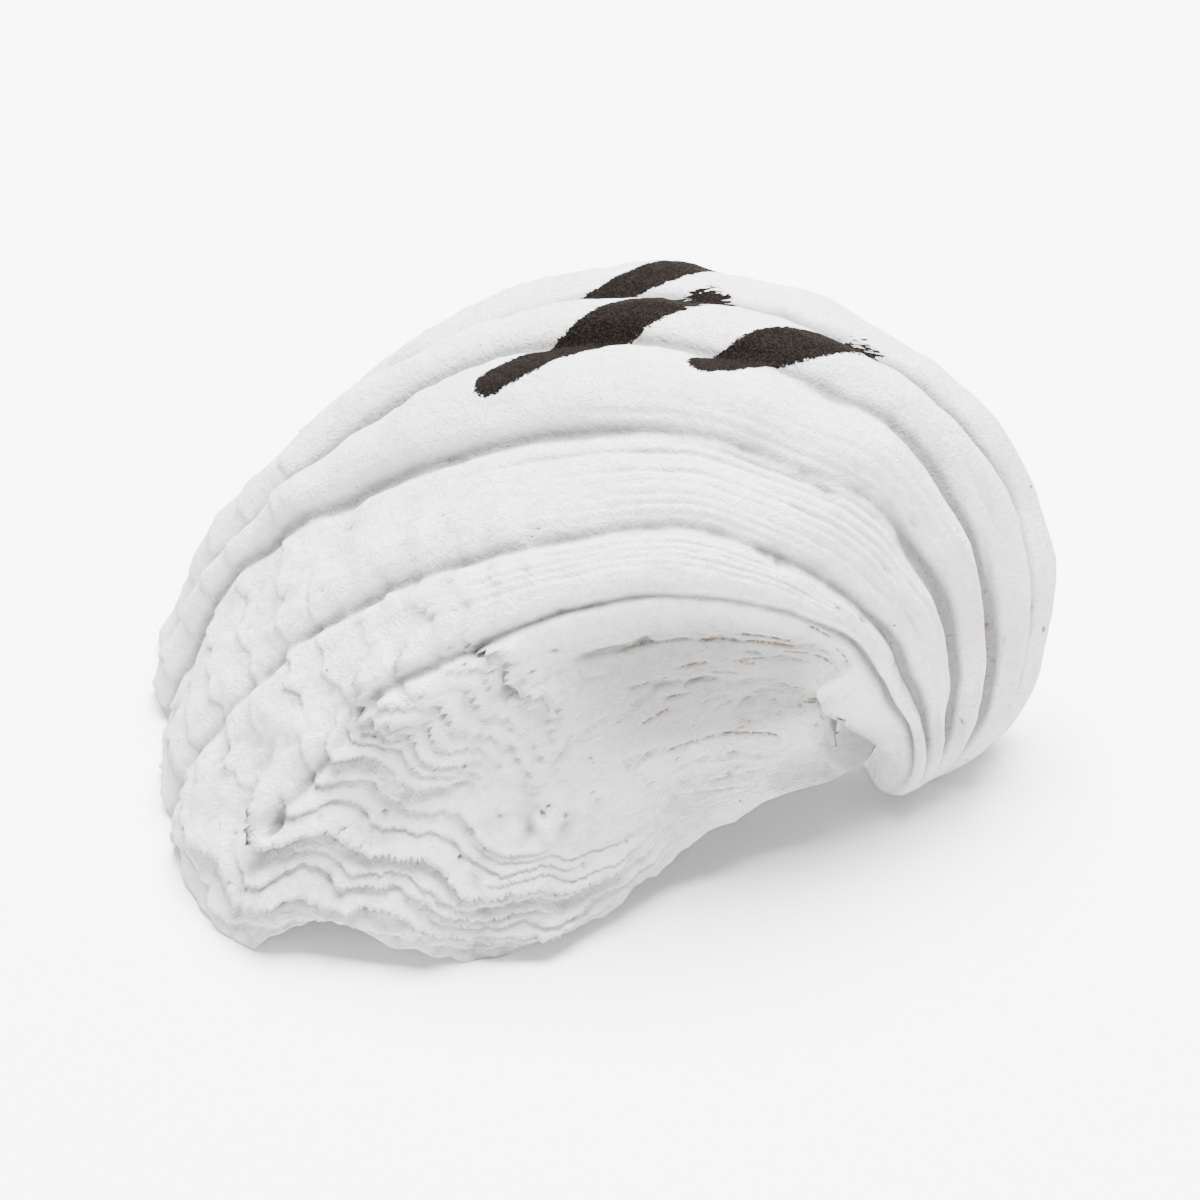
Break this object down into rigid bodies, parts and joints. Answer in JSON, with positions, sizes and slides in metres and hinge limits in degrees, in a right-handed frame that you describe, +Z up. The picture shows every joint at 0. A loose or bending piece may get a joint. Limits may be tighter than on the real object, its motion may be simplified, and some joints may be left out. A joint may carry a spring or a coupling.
{
  "type": "clam shell",
  "caption": "Single white-painted valve of a small giant clam, dome up with rolled beak, radial folds, frilled growth ledges and an open hollow beneath.",
  "frame": {"origin": "middle of the shell's footprint, on the surface that it rests on", "axes": "+Z up to the crest of the dome, +X along the longest extent towards the rolled beak, -Y towards the side that gapes, which the picture shows"},
  "size_m": [0.1332, 0.1268, 0.0693],
  "materials": {
    "shell_white": "chalky matt white paint over calcium carbonate shell, with a few dry-brushed near-black strokes on the crest"
  },
  "bodies": {
    "root": {"shell": "shell_white"}
  },
  "joints": []
}
